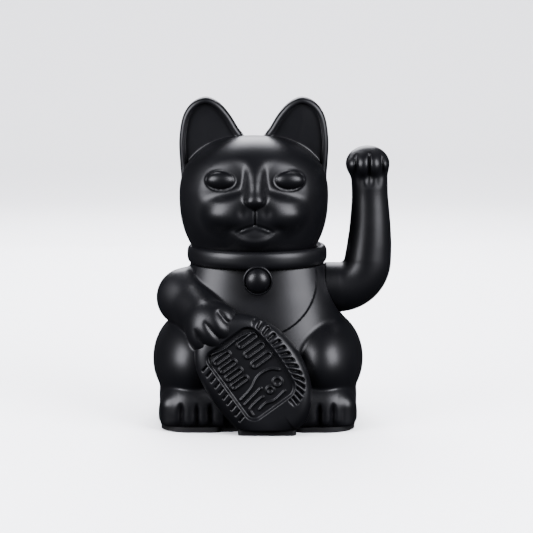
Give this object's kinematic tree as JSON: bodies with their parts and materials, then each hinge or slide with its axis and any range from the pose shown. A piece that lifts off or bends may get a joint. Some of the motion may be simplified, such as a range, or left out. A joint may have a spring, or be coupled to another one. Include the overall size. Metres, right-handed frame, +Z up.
{
  "type": "waving cat figurine",
  "caption": "Seated beckoning cat figurine in black plastic; a battery-driven pendulum swings its raised arm to and fro.",
  "frame": {"origin": "middle of the base plate's underside, on the surface it stands on", "axes": "+Z up, the cat faces -Y, its raised left arm is at +X"},
  "size_m": [0.1113, 0.0849, 0.15],
  "materials": {
    "body_plastic": "satin moulded, black",
    "head_plastic": "satin moulded, black",
    "arm_plastic": "satin moulded, black",
    "collar_plastic": "satin moulded, black",
    "bell_plastic": "satin moulded, black",
    "coin_plastic": "satin moulded, black",
    "base_plastic": "fine spark-eroded texture, black",
    "door_plastic": "fine spark-eroded texture, black",
    "inner_plastic": "plain moulded, natural white",
    "screw_steel": "zinc plated",
    "axle_steel": "ground rod",
    "weight_steel": "sawn and tumbled",
    "contact_steel": "nickel plated spring steel",
    "magnet": "nickel plated",
    "winding": "enamelled copper wire",
    "board": "solder mask over glass-fibre board",
    "component_black": "moulded epoxy",
    "capacitor_sleeve": "shrunk sleeve",
    "resistor_body": "lacquered",
    "cell_wrap": "plain printed film, no lettering",
    "lead_red_sheath": "soft vinyl",
    "lead_black_sheath": "soft vinyl"
  },
  "bodies": {
    "body": {"body_front_shell": "body_plastic", "body_rear_shell": "body_plastic", "head_front_shell": "head_plastic", "head_rear_shell": "head_plastic", "collar": "collar_plastic", "bell": "bell_plastic", "coin": "coin_plastic", "base_plate": "base_plastic", "base_screws": "screw_steel", "battery_cell": "cell_wrap", "battery_spring": "contact_steel", "spring_plate": "contact_steel", "battery_contact": "contact_steel", "mechanism_frame": "inner_plastic", "frame_screws": "screw_steel", "coil_bobbin": "inner_plastic", "drive_coil": "winding", "circuit_board": "board", "board_screws": "screw_steel", "transistor": "component_black", "capacitor": "capacitor_sleeve", "resistors": "resistor_body", "lead_black": "lead_black_sheath", "lead_red": "lead_red_sheath", "coil_leads": "winding"},
    "arm": {"arm_front_shell": "arm_plastic", "arm_rear_shell": "arm_plastic", "arm_root_cap": "inner_plastic", "arm_axle": "axle_steel", "pendulum_lever": "inner_plastic", "pendulum_weight": "weight_steel", "pendulum_magnet": "magnet", "retaining_ring": "axle_steel"},
    "battery_door": {"battery_door": "door_plastic"}
  },
  "joints": [
    {"name": "arm_swing", "type": "hinge", "parent": "body", "child": "arm", "pos_m": [0.0145, 0, 0.0616], "axis": [1, 0, 0], "range_deg": [-24, 24]},
    {"name": "battery_door_slide", "type": "slide", "parent": "body", "child": "battery_door", "axis": [0, 1, 0], "range_m": [0, 0.022]}
  ]
}
